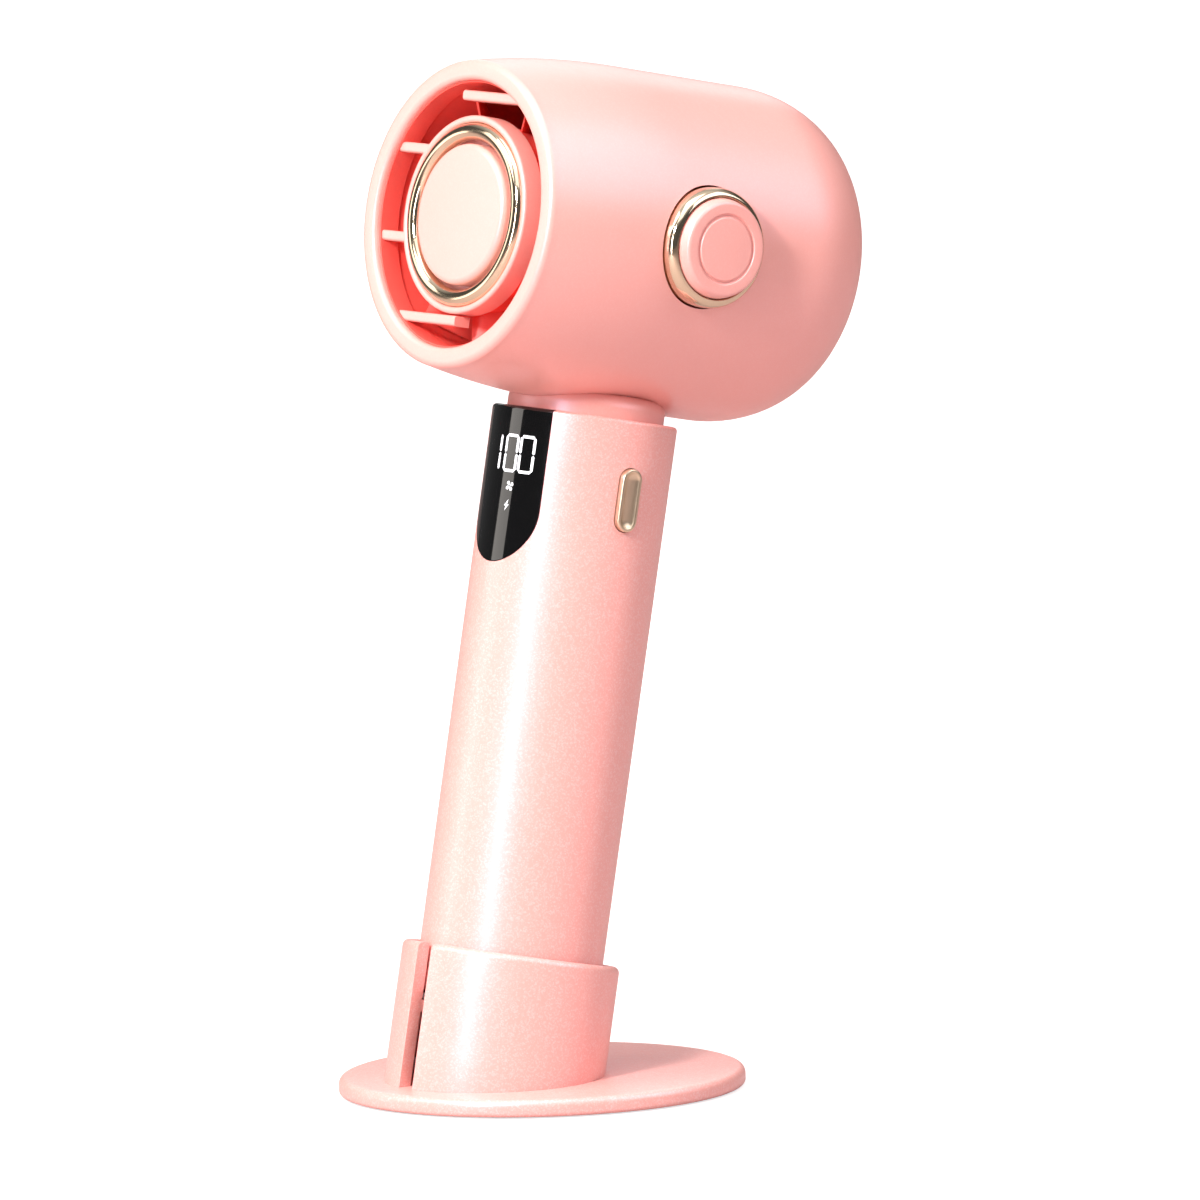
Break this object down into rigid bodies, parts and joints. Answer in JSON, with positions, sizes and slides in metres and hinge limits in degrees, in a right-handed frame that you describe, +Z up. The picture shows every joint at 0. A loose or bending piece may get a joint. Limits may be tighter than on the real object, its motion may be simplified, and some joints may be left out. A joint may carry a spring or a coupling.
{
  "type": "hair dryer style hand-held turbo fan",
  "caption": "Cordless hair-dryer-shaped hand fan in pink with a round barrel, gold dial, display and power button, standing in a collared oval desk stand.",
  "frame": {"origin": "centre of the stand's underside, on the ground", "axes": "+Z up, -Y the way the air leaves (front), +X the side with the dial and the power button"},
  "size_m": [0.0818, 0.1146, 0.2119],
  "materials": {
    "pink_shell": "pearlescent satin pink paint",
    "pink_inner": "plain moulded coral pink",
    "gold_trim": "polished champagne gold",
    "black_window": "gloss black window with white digits",
    "board": "green circuit board",
    "steel": "bright steel",
    "dark_plastic": "dark grey moulded plastic",
    "cell_wrap": "shrink-wrapped cell",
    "winding_core": "laminated iron with copper winding",
    "magnet": "ground magnet",
    "grey_rubber": "soft silicone rubber"
  },
  "bodies": {
    "stand": {"stand_plate": "pink_shell", "stand_collar": "pink_shell", "anti_slip_pad": "grey_rubber", "ballast_plate": "steel", "seat_ring": "grey_rubber", "stand_screw_1": "steel", "stand_screw_2": "steel", "stand_screw_3": "steel"},
    "handset": {"handle_shell": "pink_shell", "handle_end_cap": "pink_shell", "neck_saddle": "pink_shell", "barrel_shell": "pink_shell", "hub_disc": "pink_shell", "duct_liner": "pink_inner", "outlet_grille": "pink_inner", "hub_fairing": "pink_inner", "inlet_grille": "pink_inner", "hub_gold_ring": "gold_trim", "display_window": "black_window", "display_board": "board", "main_board": "board", "charge_board": "board", "button_board": "board", "motor_driver_board": "board", "dial_board": "board", "neck_screw_1": "steel", "neck_screw_2": "steel", "usb_c_port": "steel", "battery_contact_lower": "steel", "battery_contact_upper": "steel", "front_bearing": "steel", "rear_bearing": "steel", "motor_end_bell": "steel", "dial_post": "steel", "battery_cradle": "dark_plastic", "button_switch": "dark_plastic", "motor_housing": "dark_plastic", "display_module": "dark_plastic", "battery_cell": "cell_wrap", "stator_core": "winding_core", "inlet_filter": "grey_rubber"},
    "impeller": {"fan_impeller": "dark_plastic", "rotor_magnet": "magnet", "motor_shaft": "steel"},
    "dial": {"dial_skirt": "gold_trim", "dial_cap": "pink_shell", "dial_magnet_ring": "magnet"},
    "power_button": {"power_button": "gold_trim"}
  },
  "joints": [
    {"name": "handset_lift", "type": "slide", "parent": "stand", "child": "handset", "axis": [0, 0.2011, 0.9796], "range_m": [0, 0.04]},
    {"name": "fan_spin", "type": "hinge", "parent": "handset", "child": "impeller", "pos_m": [0, 0.02267, 0.17329], "axis": [0, 0.9796, -0.2011], "continuous": true},
    {"name": "dial_turn", "type": "hinge", "parent": "handset", "child": "dial", "pos_m": [0.035, 0.02267, 0.17329], "axis": [1, 0, 0], "continuous": true},
    {"name": "button_press", "type": "slide", "parent": "handset", "child": "power_button", "axis": [-1, 0, 0], "range_m": [0, 0.0008], "stiffness_N_per_m": 1500}
  ]
}
